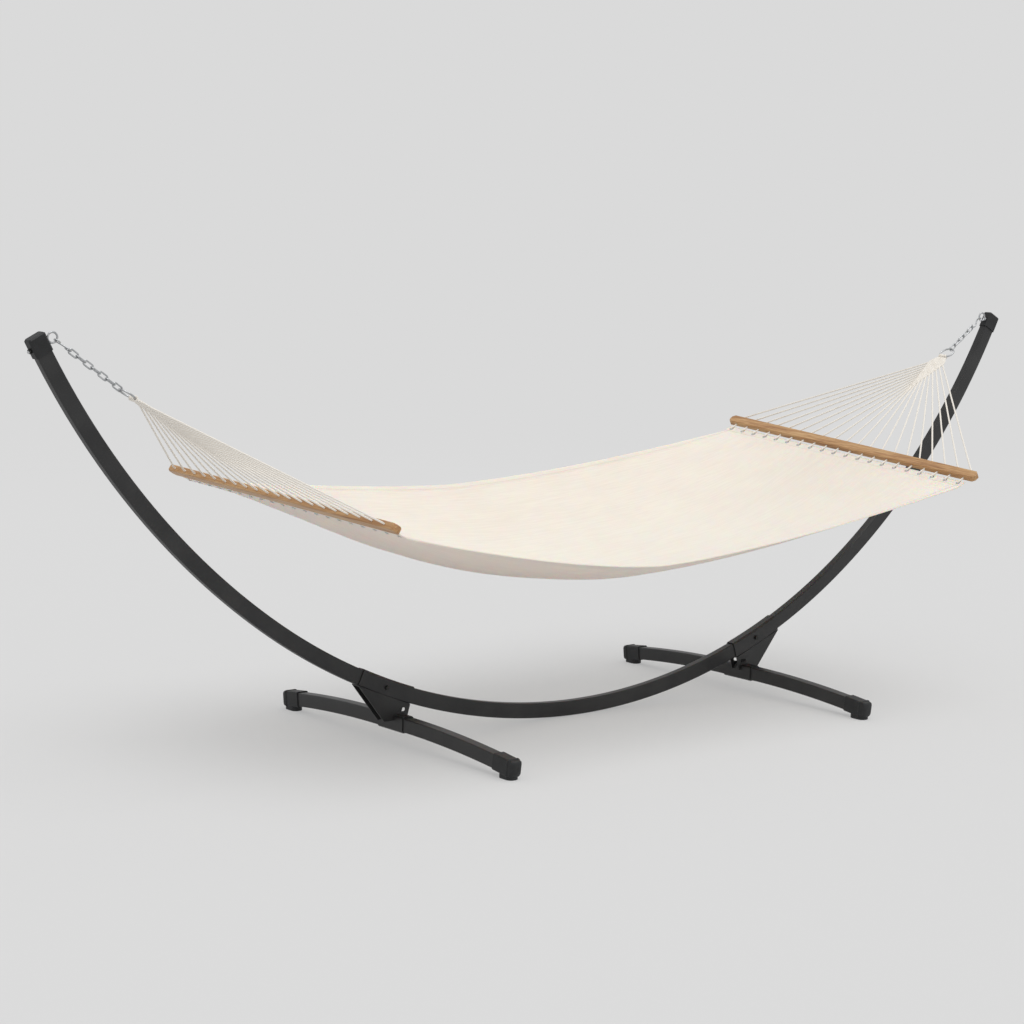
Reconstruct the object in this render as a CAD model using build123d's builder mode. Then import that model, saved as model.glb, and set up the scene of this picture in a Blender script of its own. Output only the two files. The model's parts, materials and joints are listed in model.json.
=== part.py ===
from build123d import *
import os
from math import acos, asin, ceil, copysign, cos, degrees, radians, sin, sqrt

# Canvas hammock slung between the raised ends of a bent steel tube, on two crossbars.
# X runs along the hammock, Y across it and Z up. The origin is on the floor, at the middle.
# Lengths are in millimetres and angles in degrees.

# Arc stand: box tube in three sections, bent to one radius in the middle and another at the ends
tube_height = 50.0
tube_width = 30.0
tube_bevel = 4.0
tube_wall = 1.8
floor_gap = 2.0
centre_radius = 2165.0
centre_slope = 34.7
tip_radius = 2470.0
tip_slope = 62.3
swage_length = 100.0
swage_past_bolt = 50.0
fit_gap = 0.4

# Crossbars: two halves each, level inside the bracket and then bending down to the foot
crossbar_x = 757.0
crossbar_height = 45.0
crossbar_width = 38.0
crossbar_bevel = 3.5
crossbar_wall = 1.6
crossbar_mid_z = 67.0
crossbar_drop = 31.5
crossbar_reach = 588.0
crossbar_gap = 2.0

# Brackets: a sleeve on the arc, two side plates and a sleeve for the crossbar, welded together
bracket_slope = 21.85
arc_sleeve_length = 214.0
sleeve_wall = 3.0
cross_sleeve_length = 130.0
cross_sleeve_wall = 2.5
plate_foot_outer = 58.0
plate_foot_inner = 30.0
plate_foot_lift = 8.0
window_length = 26.0
window_height = 12.0
window_bevel = 3.0

# Fasteners
bolt_diameter = 8.0
bolt_clearance = 0.5
seat_gap = 0.1
hex_flats = 13.0
bolt_head_height = 5.5
nut_height = 6.5
thread_gap = 0.1
bolt_tail = 4.0
screw_diameter = 6.0
screw_head_flats = 10.0
screw_head_height = 3.5
screw_length = 12.0
screw_from_middle = 42.0

# Plastic caps
tip_cap_length = 58.0
tip_cap_wall = 3.0
tip_cap_top = 8.0
tip_cap_bevel = 4.0
foot_cap_skirt = 72.0
foot_cap_wall = 3.0
foot_cap_end = 19.0
foot_nose_inset = 11.0
foot_rim_width = 7.0
foot_rim_height = 2.0
foot_pad_length = 62.0
foot_pad_width = 40.0
foot_pad_bevel = 10.0
foot_pad_height = 20.0

# Eye bolts, hooks, chains and rings. Their wires and bends are drawn with flats.
wire_sides = 8
ring_facets = 16
link_facets = 12
eye_from_end = 24.0
eye_standoff = 19.0
eye_inner_radius = 12.0
eye_wire = 6.0
eye_collar_diameter = 15.0
eye_collar_height = 3.0
link_gap = 0.3
chain_angle = 35.2
hook_wire = 5.0
hook_inner_length = 54.0
hook_inner_radius = 7.0
hook_turn = 250.0
link_wire = 5.0
link_inner_length = 28.8
link_inner_width = 9.0
link_sides = 6
ring_inner_radius = 23.0
ring_wire = 6.0
left_links = 7
right_links = 5

# Clews: cords doubled over the ring, woven into a flat leaf and fanned out to the spreader bar
cord_diameter = 6.0
cord_sides = 6
cord_count = 20
cord_pitch = 59.0
wrap_length = 30.0
wrap_diameter = 19.0
wrap_sides = 12
leaf_thickness = 9.0
leaf_shoulder = 45.0
leaf_length = 190.0
leaf_half_neck = 14.0
leaf_half_width = 36.0
leaf_half_tip = 5.0
cord_sink = 4.0
fan_length = 611.0
fan_angle = 32.4

# Spreader bars: hardwood slats that lean with the bed, the far end higher
bar_length = 1210.0
bar_width = 38.0
bar_thickness = 22.0
bar_end_bevel = 11.0
bar_edge_bevel = 3.0
bar_hole_diameter = 8.0
hole_sides = 8
left_lean = 2.0
right_lean = 4.3
cord_bend_before_bar = 6.0
cord_bend_after_bar = 6.0

# Canvas: a doubled hem with eyelets at each bar, and the bed that hangs between the hems
hem_angle = 26.0
hem_from_bar = 14.0
hem_width = 34.0
hem_half_length = 580.0
canvas_thickness = 4.0
hem_drop = 3.3
eyelet_from_edge = 15.0
eyelet_diameter = 8.0
cord_tail = 3.0
bed_low_x = -150.0
near_edge_low_z = 590.0
far_edge_low_z = 718.0
edge_power = 1.5
bed_low_half_width = 560.0
bed_belly = 150.0
belly_power = 3.4
bed_spans = 10

# Derived places on the arc
arc_base_z = floor_gap + tube_height / 2
centre_end_x = centre_radius * sin(radians(centre_slope))
centre_end_z = arc_base_z + centre_radius * (1 - cos(radians(centre_slope)))
centre_bend = Axis((0, 0, arc_base_z + centre_radius), (0, -1, 0))
tip_bend = Axis(
    (
        centre_end_x - tip_radius * sin(radians(centre_slope)),
        0,
        centre_end_z + tip_radius * cos(radians(centre_slope)),
    ),
    (0, -1, 0),
)
joint_slope = bracket_slope + degrees(swage_past_bolt / centre_radius)
swage_start_slope = joint_slope - degrees(swage_length / centre_radius)
shoulder_slope = joint_slope + degrees(tube_wall / centre_radius)
sleeve_half_slope = degrees(arc_sleeve_length / 2 / centre_radius)
eye_slope = tip_slope - degrees(eye_from_end / tip_radius)
tip_cap_slope = tip_slope - degrees((tip_cap_length - tip_cap_top) / tip_radius)


def arc_point(slope, inward=0.0):
    """Point of the right half of the arc where it has this slope, moved to the inside of the bend."""
    angle = radians(slope)
    if slope <= centre_slope:
        x = centre_radius * sin(angle)
        z = arc_base_z + centre_radius * (1 - cos(angle))
    else:
        x = centre_end_x + tip_radius * (sin(angle) - sin(radians(centre_slope)))
        z = centre_end_z + tip_radius * (cos(radians(centre_slope)) - cos(angle))
    return Vector(x - inward * sin(angle), 0, z + inward * cos(angle))


def arc_plane(slope):
    """Plane across the tube: local X is the object's Y, local Y points to the inside of the bend."""
    angle = radians(slope)
    return Plane(arc_point(slope), x_dir=(0, 1, 0), z_dir=(cos(angle), 0, sin(angle)))


def inset_bevel(bevel, inset):
    """Bevel of a corner whose sides and bevel have all moved in by the same distance."""
    return bevel - inset * (2 - sqrt(2))


def box_section(width, height, bevel, bore_wall=None):
    """Rectangle with bevelled corners, hollow and of even wall if it has one."""
    with BuildSketch() as section:
        Rectangle(width, height)
        chamfer(section.vertices(), bevel)
        if bore_wall is not None:
            bore_bevel = max(inset_bevel(bevel, bore_wall), bore_wall / 4)
            bore = box_section(width - 2 * bore_wall, height - 2 * bore_wall, bore_bevel)
            add(bore, mode=Mode.SUBTRACT)
    return section.sketch


def arc_run(start, end, bend, section):
    """A section carried round a bend of the arc, from one slope to another."""
    with BuildPart() as run:
        with BuildSketch(arc_plane(start)):
            add(section)
        revolve(axis=bend, revolution_arc=end - start)
    return run.part


def loop_corners(radius, facets, straight=0.0):
    """Corners of a round loop drawn with flats, its two halves moved apart along X."""
    reach = radius / cos(radians(180 / facets))
    corners = []
    for number in range(facets):
        angle = radians((number + 0.5) * 360 / facets)
        corners.append((reach * cos(angle) + copysign(straight / 2, cos(angle)), reach * sin(angle)))
    return corners


def wire_loop(radius, facets, wire, sides, straight=0.0):
    """Closed loop of wire in the XY plane, centred on the origin and long in X if it has a straight."""
    corners = loop_corners(radius, facets, straight)
    start = (radius + straight / 2, 0)
    with BuildPart() as loop:
        with BuildLine() as route:
            Polyline(start, *corners, start)
        with BuildSketch(Plane((*start, 0), x_dir=(1, 0, 0), z_dir=(0, 1, 0))):
            RegularPolygon(wire / 2, sides)
        sweep(path=route.wires()[0], transition=Transition.RIGHT)
    return loop.part


def save(part, name):
    part.label = name
    export_step(part, f"parts/{name}.step")


os.makedirs("parts", exist_ok=True)
bolt_place = arc_point(bracket_slope)
bolt_places = [(bolt_place.X, bolt_place.Z), (-bolt_place.X, bolt_place.Z)]
bolt_hole_radius = bolt_diameter / 2 + bolt_clearance
tube_section = box_section(tube_width, tube_height, tube_bevel, tube_wall)
tube_clear = box_section(tube_width + 2 * fit_gap, tube_height + 2 * fit_gap, tube_bevel)

# Centre section of the arc, which ends inside both brackets
with BuildPart() as arc_centre:
    add(arc_run(-joint_slope, joint_slope, centre_bend, tube_section))
    with BuildSketch(Plane.XZ):
        with Locations(*bolt_places):
            Circle(bolt_hole_radius)
    extrude(amount=tube_width, both=True, mode=Mode.SUBTRACT)
save(arc_centre.part, "arc_tube_centre")

# End section: a swaged end that slides into the centre section, then the two bends up to the tip
swage_height = tube_height - 2 * tube_wall - 2 * fit_gap
swage_width = tube_width - 2 * tube_wall - 2 * fit_gap
swage_bevel = inset_bevel(tube_bevel, tube_wall + fit_gap)
swage_section = box_section(swage_width, swage_height, swage_bevel, tube_wall)
shoulder_section = box_section(tube_width, tube_height, tube_bevel, 2 * tube_wall + fit_gap)
eye_plane = Plane(
    arc_point(eye_slope),
    x_dir=(0, 1, 0),
    z_dir=(-sin(radians(eye_slope)), 0, cos(radians(eye_slope))),
)
with BuildPart() as arc_right:
    add(arc_run(joint_slope, centre_slope, centre_bend, tube_section))
    add(arc_run(centre_slope, tip_slope, tip_bend, tube_section))
    add(arc_run(swage_start_slope, shoulder_slope, centre_bend, swage_section))
    add(arc_run(joint_slope, shoulder_slope, centre_bend, shoulder_section))
    with BuildSketch(Plane.XZ):
        with Locations(bolt_places[0]):
            Circle(bolt_hole_radius)
    extrude(amount=tube_width, both=True, mode=Mode.SUBTRACT)
    with BuildSketch(eye_plane):
        Circle(bolt_hole_radius)
    extrude(amount=tube_height, both=True, mode=Mode.SUBTRACT)
save(arc_right.part, "arc_tube_right")
save(mirror(arc_right.part, about=Plane.YZ), "arc_tube_left")

# Plastic cap over the top of the tube, drilled for the eye bolt
cap_height = tube_height + 2 * (fit_gap + tip_cap_wall)
cap_width = tube_width + 2 * (fit_gap + tip_cap_wall)
cap_section = box_section(cap_width, cap_height, tube_bevel + tip_cap_wall / 2)
with BuildPart() as tip_cap:
    with BuildSketch(arc_plane(tip_slope)):
        add(cap_section)
    extrude(amount=tip_cap_top)
    cap_top = tip_cap.faces().sort_by(Axis((0, 0, 0), arc_plane(tip_slope).z_dir))[-1]
    chamfer(cap_top.edges(), tip_cap_bevel)
    add(arc_run(tip_cap_slope, tip_slope, tip_bend, cap_section))
    add(arc_run(tip_cap_slope - 1, tip_slope, tip_bend, tube_clear), mode=Mode.SUBTRACT)
    with BuildSketch(eye_plane):
        Circle(bolt_hole_radius)
    extrude(amount=cap_height, both=True, mode=Mode.SUBTRACT)
save(tip_cap.part, "tip_cap_right")
save(mirror(tip_cap.part, about=Plane.YZ), "tip_cap_left")

# Eye bolt through the cap and the tube, with its eye in the plane of the arc
eye_ring_radius = eye_inner_radius + eye_wire / 2
cap_face = cap_height / 2 + seat_gap
eye_height = cap_face + eye_standoff
eye_centre = eye_plane.from_local_coords((0, 0, eye_height))
shank_bottom = cap_face + nut_height + bolt_tail
with BuildPart() as eye_bolt:
    with Locations(Plane(eye_centre, x_dir=eye_plane.z_dir, z_dir=(0, 1, 0)).location):
        add(wire_loop(eye_ring_radius, ring_facets, eye_wire, wire_sides))
    with BuildSketch(eye_plane.offset(-shank_bottom)):
        Circle(bolt_diameter / 2)
    extrude(amount=shank_bottom + cap_face)
    with BuildSketch(eye_plane.offset(cap_face)):
        Circle(eye_collar_diameter / 2)
    extrude(amount=eye_collar_height)
    with BuildSketch(eye_plane.offset(cap_face + eye_collar_height)):
        RegularPolygon(eye_wire / 2, wire_sides)
    extrude(amount=eye_standoff - eye_collar_height - eye_ring_radius)
save(eye_bolt.part, "eye_bolt_right")
save(mirror(eye_bolt.part, about=Plane.YZ), "eye_bolt_left")

with BuildPart() as eye_nuts:
    with BuildSketch(eye_plane.offset(-cap_face - nut_height)):
        RegularPolygon(hex_flats / 2, 6, major_radius=False)
        Circle(bolt_diameter / 2 + thread_gap, mode=Mode.SUBTRACT)
    extrude(amount=nut_height)
    mirror(about=Plane.YZ)
save(eye_nuts.part, "eye_bolt_nuts")

# Crossbar half on the far side of the right bracket
bend_length = crossbar_reach - cross_sleeve_length / 2
crossbar_bend_radius = (bend_length**2 + crossbar_drop**2) / (2 * crossbar_drop)
crossbar_turn = degrees(asin(bend_length / crossbar_bend_radius))
crossbar_bend_centre = (crossbar_x, cross_sleeve_length / 2, crossbar_mid_z - crossbar_bend_radius)
crossbar_bend = Axis(crossbar_bend_centre, (-1, 0, 0))
crossbar_section = box_section(crossbar_width, crossbar_height, crossbar_bevel, crossbar_wall)
crossbar_clear = box_section(
    crossbar_width + 2 * fit_gap, crossbar_height + 2 * fit_gap, crossbar_bevel
)
level_length = cross_sleeve_length / 2 - crossbar_gap / 2
level_start = Plane((crossbar_x, crossbar_gap / 2, crossbar_mid_z), x_dir=(1, 0, 0), z_dir=(0, 1, 0))
screw_place = (crossbar_x, screw_from_middle)
screw_hole_radius = screw_diameter / 2 + bolt_clearance
with BuildPart() as crossbar:
    with BuildSketch(level_start):
        add(crossbar_section)
    extrude(amount=level_length)
    with BuildSketch(level_start.offset(level_length)):
        add(crossbar_section)
    revolve(axis=crossbar_bend, revolution_arc=crossbar_turn)
    with BuildSketch(Plane.XY):
        with Locations(screw_place):
            Circle(screw_hole_radius)
    extrude(amount=crossbar_mid_z, mode=Mode.SUBTRACT)
crossbar_left = mirror(crossbar.part, about=Plane.YZ)
save(crossbar.part, "crossbar_right_back")
save(mirror(crossbar.part, about=Plane.XZ), "crossbar_right_front")
save(crossbar_left, "crossbar_left_back")
save(mirror(crossbar_left, about=Plane.XZ), "crossbar_left_front")

# Foot cap: a skirt over the crossbar's end, a raised rim, a blunt nose and a flat pad below
foot_end = Plane(
    (crossbar_x, crossbar_reach, crossbar_mid_z - crossbar_drop),
    x_dir=(1, 0, 0),
    z_dir=(0, cos(radians(crossbar_turn)), -sin(radians(crossbar_turn))),
)
foot_width = crossbar_width + 2 * (fit_gap + foot_cap_wall)
foot_height = crossbar_height + 2 * (fit_gap + foot_cap_wall)
foot_bevel = crossbar_bevel + foot_cap_wall / 2
foot_section = box_section(foot_width, foot_height, foot_bevel)
foot_rim_section = box_section(
    foot_width + 2 * foot_rim_height, foot_height + 2 * foot_rim_height, foot_bevel
)
foot_pad_section = box_section(foot_pad_width, foot_pad_length, foot_pad_bevel)
foot_pad_y = crossbar_reach + foot_cap_end - foot_nose_inset / 2 - foot_pad_length / 2
skirt_turn = degrees(foot_cap_skirt / crossbar_bend_radius)
skirt_bend = Axis(crossbar_bend_centre, (1, 0, 0))
with BuildPart() as foot_cap:
    for reach, inset in ((0, 0), (0.5, 0), (0.85, 0.4), (1, 1)):
        with BuildSketch(foot_end.offset(reach * foot_cap_end)):
            nose_trim = 2 * inset * foot_nose_inset
            add(box_section(foot_width - nose_trim, foot_height - nose_trim, foot_bevel))
    loft(ruled=True)
    with BuildSketch(foot_end):
        add(foot_section)
    revolve(axis=skirt_bend, revolution_arc=skirt_turn)
    with BuildSketch(foot_end.offset(-foot_rim_width)):
        add(foot_rim_section)
    extrude(amount=foot_rim_width)
    with BuildSketch(Plane.XY):
        with Locations((crossbar_x, foot_pad_y)):
            add(foot_pad_section)
    extrude(amount=foot_pad_height)
    with BuildSketch(foot_end):
        add(crossbar_clear)
    revolve(axis=skirt_bend, revolution_arc=skirt_turn * 1.2, mode=Mode.SUBTRACT)
foot_left = mirror(foot_cap.part, about=Plane.YZ)
save(foot_cap.part, "foot_cap_right_back")
save(mirror(foot_cap.part, about=Plane.XZ), "foot_cap_right_front")
save(foot_left, "foot_cap_left_back")
save(mirror(foot_left, about=Plane.XZ), "foot_cap_left_front")

# Bracket weldment
arc_sleeve_height = tube_height + 2 * (fit_gap + sleeve_wall)
arc_sleeve_width = tube_width + 2 * (fit_gap + sleeve_wall)
arc_sleeve_section = box_section(arc_sleeve_width, arc_sleeve_height, tube_bevel + sleeve_wall / 2)
sleeve_low = bracket_slope - sleeve_half_slope
sleeve_high = bracket_slope + sleeve_half_slope
cross_sleeve_width = crossbar_width + 2 * (fit_gap + cross_sleeve_wall)
cross_sleeve_height = crossbar_height + 2 * (fit_gap + cross_sleeve_wall)
cross_sleeve_section = box_section(
    cross_sleeve_width, cross_sleeve_height, crossbar_bevel + cross_sleeve_wall / 2
)
cross_sleeve_top = crossbar_mid_z + cross_sleeve_height / 2
cross_sleeve_bottom = crossbar_mid_z - cross_sleeve_height / 2
plate_top_inset = -tube_height / 2 - fit_gap - sleeve_wall / 2
plate_inner = arc_point(sleeve_low, plate_top_inset)
plate_outer = arc_point(sleeve_high, plate_top_inset)
plate_foot_z = crossbar_mid_z + plate_foot_lift
window_x = (plate_inner.X + crossbar_x - plate_foot_inner) / 2 + window_length
window_z = (cross_sleeve_top + plate_inner.Z) / 2
window_section = box_section(window_length, window_height, window_bevel)
cross_clear_start = Plane(
    (crossbar_x, -cross_sleeve_length, crossbar_mid_z), x_dir=(1, 0, 0), z_dir=(0, 1, 0)
)
with BuildPart() as bracket:
    add(arc_run(sleeve_low, sleeve_high, centre_bend, arc_sleeve_section))
    for side in (-1, 1):
        plate_y = side * (arc_sleeve_width - sleeve_wall) / 2
        with BuildSketch(Plane.XZ.offset(plate_y)):
            Polygon(
                (plate_inner.X, plate_inner.Z),
                (plate_outer.X, plate_outer.Z),
                (crossbar_x + plate_foot_outer, plate_foot_z),
                (crossbar_x - plate_foot_inner, plate_foot_z),
                align=None,
            )
            with Locations((window_x, window_z)):
                add(window_section, mode=Mode.SUBTRACT)
        extrude(amount=sleeve_wall / 2, both=True)
    with BuildSketch(cross_clear_start.offset(cross_sleeve_length / 2)):
        add(cross_sleeve_section)
    extrude(amount=cross_sleeve_length)
    add(arc_run(sleeve_low - 1, sleeve_high + 1, centre_bend, tube_clear), mode=Mode.SUBTRACT)
    with BuildSketch(cross_clear_start):
        add(crossbar_clear)
    extrude(amount=2 * cross_sleeve_length, mode=Mode.SUBTRACT)
    with BuildSketch(Plane.XZ):
        with Locations(bolt_places[0]):
            Circle(bolt_hole_radius)
    extrude(amount=arc_sleeve_width, both=True, mode=Mode.SUBTRACT)
    with BuildSketch(Plane.XY):
        with Locations(screw_place, (screw_place[0], -screw_place[1])):
            Circle(screw_hole_radius)
    extrude(amount=crossbar_mid_z, mode=Mode.SUBTRACT)
save(bracket.part, "bracket_right")
save(mirror(bracket.part, about=Plane.YZ), "bracket_left")

# Bolt and nut through each arc sleeve
bolt_seat = arc_sleeve_width / 2 + seat_gap
with BuildPart() as bracket_bolts:
    with BuildSketch(Plane.XZ.offset(bolt_seat)):
        with Locations(*bolt_places):
            RegularPolygon(hex_flats / 2, 6, major_radius=False)
    extrude(amount=bolt_head_height)
    with BuildSketch(Plane.XZ.offset(bolt_seat)):
        with Locations(*bolt_places):
            Circle(bolt_diameter / 2)
    extrude(amount=-(2 * bolt_seat + nut_height + bolt_tail))
save(bracket_bolts.part, "bracket_bolts")

with BuildPart() as bracket_nuts:
    with BuildSketch(Plane.XZ.offset(-bolt_seat)):
        with Locations(*bolt_places):
            RegularPolygon(hex_flats / 2, 6, major_radius=False)
            Circle(bolt_diameter / 2 + thread_gap, mode=Mode.SUBTRACT)
    extrude(amount=-nut_height)
save(bracket_nuts.part, "bracket_nuts")

# Screws up into the crossbar halves from below each bracket
screw_places = [(sx * crossbar_x, sy * screw_from_middle) for sx in (-1, 1) for sy in (-1, 1)]
with BuildPart() as crossbar_screws:
    with BuildSketch(Plane.XY.offset(cross_sleeve_bottom - seat_gap)):
        with Locations(*screw_places):
            RegularPolygon(screw_head_flats / 2, 6, major_radius=False)
    extrude(amount=-screw_head_height)
    with BuildSketch(Plane.XY.offset(cross_sleeve_bottom - seat_gap)):
        with Locations(*screw_places):
            RegularPolygon(screw_diameter / 2, wire_sides)
    extrude(amount=screw_length)
save(crossbar_screws.part, "crossbar_screws")

# Places along the chain, measured from the centre of the eye
hook_near = eye_inner_radius - link_gap - hook_wire
hook_loop_radius = hook_inner_radius + hook_wire / 2
hook_far_inner = eye_inner_radius - link_gap + hook_inner_length
link_pitch = link_inner_length - link_gap
link_end_radius = (link_inner_width + link_wire) / 2
link_straight = link_inner_length + link_wire - 2 * link_end_radius
ring_radius = ring_inner_radius + ring_wire / 2

def s_hook(plane):
    """Two open loops and the slanting shank between them, in this plane, hung over the eye's wire."""
    first = hook_near + hook_wire / 2 + hook_loop_radius
    second = hook_far_inner - hook_inner_radius
    facets = ceil(hook_turn / 30)
    step = hook_turn / facets
    reach = hook_loop_radius / cos(radians(step / 2))
    loop_start = degrees(acos(2 * hook_loop_radius / (second - first)))
    near_loop = []
    for number in range(facets):
        angle = radians(loop_start + (number + 0.5) * step)
        near_loop.append((first + reach * cos(angle), reach * sin(angle)))
    far_loop = [(first + second - x, -y) for x, y in near_loop]
    with BuildPart() as hook:
        with BuildLine(plane) as route:
            Polyline(*reversed(near_loop), *far_loop)
        path = route.wires()[0]
        with BuildSketch(Plane(path @ 0, x_dir=plane.z_dir, z_dir=path % 0)):
            RegularPolygon(hook_wire / 2, wire_sides)
        sweep(path=path, transition=Transition.RIGHT)
    return hook.part


def chain(eye, along, count):
    """Links that turn a quarter from one to the next, the first one on edge in the arc's plane."""
    link = wire_loop(link_end_radius, link_facets, link_wire, link_sides, link_straight)
    with BuildPart() as links:
        for number in range(count):
            middle = hook_far_inner - link_gap + number * link_pitch + link_inner_length / 2
            across = Vector(0, 1, 0) if number % 2 == 0 else along.cross(Vector(0, 1, 0))
            with Locations(Plane(eye + along * middle, x_dir=along, z_dir=across).location):
                add(link)
    return links.part


cord_offsets = [(number - (cord_count - 1) / 2) * cord_pitch for number in range(cord_count)]


def build_sling_end(name, side, count, lean):
    """Hook, chain, ring, clew, spreader bar and hem at one end. Returns the hem, its plane and end."""
    eye = Vector(side * eye_centre.X, 0, eye_centre.Z)
    chain_dir = Vector(-side * cos(radians(chain_angle)), 0, -sin(radians(chain_angle)))
    save(s_hook(Plane(eye, x_dir=chain_dir, z_dir=chain_dir.cross(Vector(0, 1, 0)))), f"hook_{name}")
    save(chain(eye, chain_dir, count), f"chain_{name}")

    fan_dir = Vector(-side * cos(radians(fan_angle)), 0, -sin(radians(fan_angle)))
    bar_dir = Vector(0, cos(radians(lean)), sin(radians(lean)))
    fan_normal = (bar_dir.cross(fan_dir) * side).normalized()
    last_inner = hook_far_inner + count * link_pitch
    ring_near = eye + chain_dir * (last_inner - link_gap - ring_wire / 2)
    ring_centre = ring_near + fan_dir * ring_radius
    fan_plane = Plane(ring_centre, x_dir=fan_dir, z_dir=fan_normal)
    with BuildPart() as ring:
        with Locations(fan_plane.location):
            add(wire_loop(ring_radius, ring_facets, ring_wire, wire_sides))
    save(ring.part, f"clew_ring_{name}")

    # the bar's own frame: local X points to the bed and local Y runs along the bar
    bar_centre = ring_centre + fan_dir * fan_length
    bar_plane = Plane(bar_centre, x_dir=fan_normal.cross(bar_dir) * side, z_dir=fan_normal)
    with BuildPart() as bar:
        with BuildSketch(bar_plane.offset(-bar_thickness / 2)):
            add(box_section(bar_width, bar_length, bar_end_bevel))
        extrude(amount=bar_thickness)
        wide_faces = bar.faces().sort_by(Axis(bar_centre, fan_normal))
        chamfer(wide_faces[0].edges() + wide_faces[-1].edges(), bar_edge_bevel)
        with BuildSketch(Plane(bar_centre, x_dir=bar_plane.y_dir, z_dir=bar_plane.x_dir)):
            with Locations(*[(offset, 0) for offset in cord_offsets]):
                RegularPolygon(bar_hole_diameter / 2, hole_sides)
        extrude(amount=bar_width, both=True, mode=Mode.SUBTRACT)
    save(bar.part, f"spreader_bar_{name}")

    # the hem's frame: turned up to the bed's slope where the cords leave the bar
    bend_out = bar_width / 2 + cord_bend_after_bar
    hem_turn = radians(fan_angle - hem_angle)
    hem_plane = Plane(
        bar_plane.from_local_coords((bend_out, 0, 0)),
        x_dir=bar_plane.x_dir * cos(hem_turn) + fan_normal * sin(hem_turn),
        z_dir=fan_normal * cos(hem_turn) - bar_plane.x_dir * sin(hem_turn),
    )
    hem_start = hem_from_bar - cord_bend_after_bar
    eyelet_x = hem_start + eyelet_from_edge
    with BuildPart() as hem:
        with BuildSketch(hem_plane.offset(-hem_drop)):
            with Locations((hem_start + hem_width / 2, 0)):
                Rectangle(hem_width, 2 * hem_half_length)
            with Locations(*[(eyelet_x, offset) for offset in cord_offsets]):
                RegularPolygon(eyelet_diameter / 2, hole_sides, mode=Mode.SUBTRACT)
        extrude(amount=-canvas_thickness)

    leaf_start = ring_radius
    leaf_end = leaf_start + leaf_length
    wrap_start = fan_plane.from_local_coords((ring_radius - ring_wire / 3, -wrap_length / 2, 0))
    with BuildPart() as clew:
        with BuildSketch(fan_plane.offset(-leaf_thickness / 2)):
            Polygon(
                (leaf_start, leaf_half_neck),
                (leaf_start + leaf_shoulder, leaf_half_width),
                (leaf_end, leaf_half_tip),
                (leaf_end, -leaf_half_tip),
                (leaf_start + leaf_shoulder, -leaf_half_width),
                (leaf_start, -leaf_half_neck),
                align=None,
            )
        extrude(amount=leaf_thickness)
        with BuildSketch(Plane(wrap_start, x_dir=fan_dir, z_dir=fan_plane.y_dir)):
            RegularPolygon(wrap_diameter / 2, wrap_sides)
        extrude(amount=wrap_length)
        for offset in cord_offsets:
            share = (abs(offset) - cord_pitch / 2) / (cord_offsets[-1] - cord_pitch / 2)
            leave_x = leaf_end - share * (leaf_length - leaf_shoulder)
            leave_y = leaf_half_tip + share * (leaf_half_width - leaf_half_tip) - cord_sink
            with BuildLine() as route:
                Polyline(
                    fan_plane.from_local_coords((leave_x, leave_y if offset > 0 else -leave_y, 0)),
                    bar_plane.from_local_coords((-bar_width / 2 - cord_bend_before_bar, offset, 0)),
                    bar_plane.from_local_coords((bend_out, offset, 0)),
                    hem_plane.from_local_coords((eyelet_x, offset, 0)),
                )
            path = route.wires()[0]
            with BuildSketch(Plane(path @ 0, z_dir=path % 0)):
                RegularPolygon(cord_diameter / 2, cord_sides)
            sweep(path=path, transition=Transition.RIGHT)
        with BuildSketch(hem_plane):
            with Locations(*[(eyelet_x, offset) for offset in cord_offsets]):
                RegularPolygon(cord_diameter / 2, cord_sides)
        extrude(amount=-hem_drop - canvas_thickness - cord_tail)
        with Locations(fan_plane.location):
            ring_clear = wire_loop(ring_radius, ring_facets, ring_wire + 2 * link_gap, wire_sides)
            add(ring_clear, mode=Mode.SUBTRACT)
    save(clew.part, f"clew_{name}")

    hem_end = hem_plane.from_local_coords((hem_start + hem_width, 0, -hem_drop))
    return hem.part, Plane(hem_end, x_dir=bar_dir, z_dir=hem_plane.x_dir * -side)


left_hem, left_end = build_sling_end("left", -1, left_links, left_lean)
right_hem, right_end = build_sling_end("right", 1, right_links, right_lean)


def edge_level(x, low_z, edge_y):
    """Height of one long edge of the bed: lowest near the middle, up to the hem at either end."""
    end = left_end if x < bed_low_x else right_end
    share = (x - bed_low_x) / (end.origin.X - bed_low_x)
    return low_z + (end.from_local_coords((edge_y, 0, 0)).Z - low_z) * share**edge_power


# Canvas bed lofted through hanging arcs between its hems
bed_span = right_end.origin.X - left_end.origin.X
bed_middle = (right_end.origin.X + left_end.origin.X) / 2
with BuildPart() as canvas_bed:
    with BuildSketch(left_end):
        Rectangle(2 * hem_half_length, canvas_thickness, align=(Align.CENTER, Align.MAX))
    for number in range(1, bed_spans):
        x = left_end.origin.X + bed_span * number / bed_spans
        share = abs(x - bed_middle) / (bed_span / 2)
        half = bed_low_half_width + (hem_half_length - bed_low_half_width) * share**2
        near_z = edge_level(x, near_edge_low_z, -hem_half_length)
        far_z = edge_level(x, far_edge_low_z, hem_half_length)
        mid_z = (near_z + far_z) / 2 - bed_belly * (1 - share**belly_power)
        with BuildSketch(Plane.YZ.offset(x)):
            with BuildLine():
                ThreePointArc((-half, near_z), (0, mid_z), (half, far_z))
                Line((half, far_z), (half, far_z - canvas_thickness))
                ThreePointArc(
                    (half, far_z - canvas_thickness),
                    (0, mid_z - canvas_thickness),
                    (-half, near_z - canvas_thickness),
                )
                Line((-half, near_z - canvas_thickness), (-half, near_z))
            make_face()
    with BuildSketch(right_end):
        Rectangle(2 * hem_half_length, canvas_thickness, align=(Align.CENTER, Align.MAX))
    loft()
    add(left_hem)
    add(right_hem)
save(canvas_bed.part, "canvas_bed")

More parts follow.
